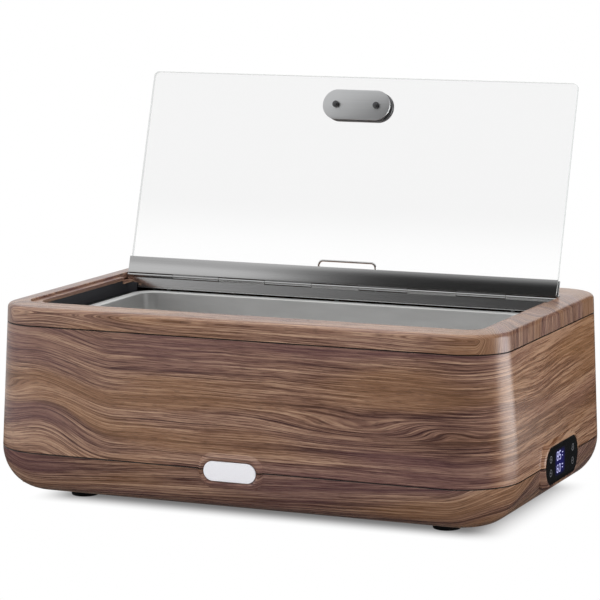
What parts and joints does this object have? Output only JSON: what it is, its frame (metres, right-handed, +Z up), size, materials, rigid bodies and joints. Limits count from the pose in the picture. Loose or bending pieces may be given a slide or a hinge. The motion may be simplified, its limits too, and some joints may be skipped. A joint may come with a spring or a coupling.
{
  "type": "electric chafing dish",
  "caption": "Electric buffet warmer: wood-effect housing on short feet, steel food pan in a heated well, hinged glass lid with a full-length hinge, control panel on the right end.",
  "frame": {"origin": "on the table, in the middle of the footprint of the housing", "axes": "+Z up, the front with the badge faces -Y, +X to the right end with the control panel; the lid stands open at rest"},
  "size_m": [0.6538, 0.4293, 0.4897],
  "materials": {
    "housing": "walnut wood-effect film, satin",
    "steel": "bright",
    "dark_steel": "dark grey satin",
    "enamel": "black enamel",
    "pan_steel": "satin",
    "lid_glass": "clear toughened glass",
    "panel_glass": "black gloss",
    "black_plastic": "matt",
    "rubber": "black rubber",
    "display": "lit violet-blue display",
    "circuit_board": "green board",
    "badge": "bright satin",
    "element": "heat-darkened"
  },
  "bodies": {
    "housing": {"base_shell": "housing", "body_band": "housing", "top_rim": "housing", "opening_liner_front": "dark_steel", "opening_liner_left": "dark_steel", "opening_liner_right": "dark_steel", "badge_plate": "badge", "foot_1": "rubber", "foot_2": "rubber", "foot_3": "rubber", "foot_4": "rubber", "foot_screw_1": "steel", "foot_screw_2": "steel", "foot_screw_3": "steel", "foot_screw_4": "steel", "tie_screw_1": "steel", "tie_screw_2": "steel", "tie_screw_3": "steel", "tie_screw_4": "steel", "control_bezel": "black_plastic", "control_glass": "panel_glass", "display_module": "display", "control_board": "circuit_board", "board_screw_1": "steel", "board_screw_2": "steel", "power_board": "circuit_board", "power_inlet": "black_plastic", "inlet_screw_1": "steel", "inlet_screw_2": "steel", "well": "enamel", "well_screw_1": "steel", "well_screw_2": "steel", "well_screw_3": "steel", "well_screw_4": "steel", "heating_element": "element", "element_clamp_1": "steel", "element_clamp_2": "steel", "heat_shield": "steel", "shield_nut_1": "steel", "shield_nut_2": "steel", "shield_nut_3": "steel", "shield_nut_4": "steel", "temperature_sensor": "steel", "thermal_cutout": "black_plastic", "hinge_fixed_leaf": "steel", "hinge_rod": "steel", "hinge_screw_1": "steel", "hinge_screw_2": "steel", "hinge_screw_3": "steel", "wire_loop": "steel", "wire_nut_1": "steel", "wire_nut_2": "steel"},
    "lid": {"lid_channel": "steel", "lid_gasket": "rubber", "lid_glass": "lid_glass", "handle_outer": "steel", "handle_inner_plate": "steel", "handle_bolt_1": "steel", "handle_bolt_2": "steel"},
    "pan": {"food_pan": "pan_steel"}
  },
  "joints": [
    {"name": "lid_hinge", "type": "hinge", "parent": "housing", "child": "lid", "pos_m": [0, 0.104, 0.2355], "axis": [1, 0, 0], "range_deg": [0, 107]},
    {"name": "pan_lift", "type": "slide", "parent": "housing", "child": "pan", "axis": [0, 0, 1], "range_m": [0, 0.12]}
  ]
}
